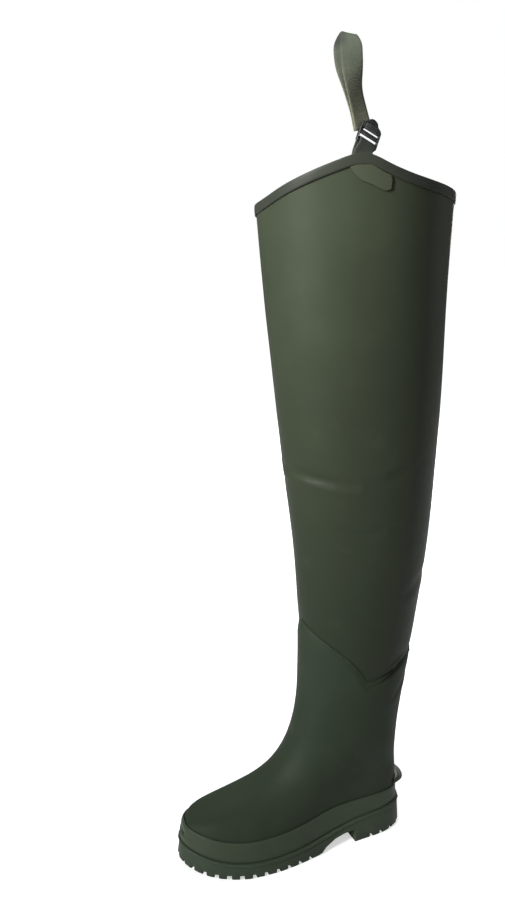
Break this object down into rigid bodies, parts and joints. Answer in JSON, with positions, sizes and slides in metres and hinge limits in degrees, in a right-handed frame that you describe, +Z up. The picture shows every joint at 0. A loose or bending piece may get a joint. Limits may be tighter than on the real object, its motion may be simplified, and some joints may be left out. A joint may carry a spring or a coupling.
{
  "type": "hip wader",
  "caption": "Moulded rubber boot with a thin thigh-high leg, bound collar, webbing hanger, ladder-lock buckle and standing belt loop, for the left foot.",
  "frame": {"origin": "on the floor under the middle of the heel, at the heel's flat rest spot", "axes": "+Z up the leg, -Y towards the toe, +X towards the outer side of the left foot"},
  "size_m": [0.1964, 0.3487, 0.9812],
  "materials": {
    "olive_rubber": "matte olive rubber with a soft satin highlight",
    "sole_rubber": "matte dark olive rubber",
    "leg_coating": "matte rubber coating on a thin leg",
    "binding_rubber": "matte rubber tape, slightly lighter than the leg",
    "olive_webbing": "woven olive webbing",
    "black_nylon": "moulded black nylon",
    "grey_felt": "grey felt"
  },
  "bodies": {
    "root": {"outsole": "sole_rubber", "boot_upper": "olive_rubber", "foxing": "sole_rubber", "kick_spur": "sole_rubber", "insole": "grey_felt", "back_seam": "olive_rubber", "thigh_leg": "leg_coating", "collar_binding": "binding_rubber", "outer_patch": "binding_rubber", "inner_patch": "binding_rubber", "hanger_tab": "olive_webbing", "ladder_buckle": "black_nylon", "belt_strap": "olive_webbing"}
  },
  "joints": []
}
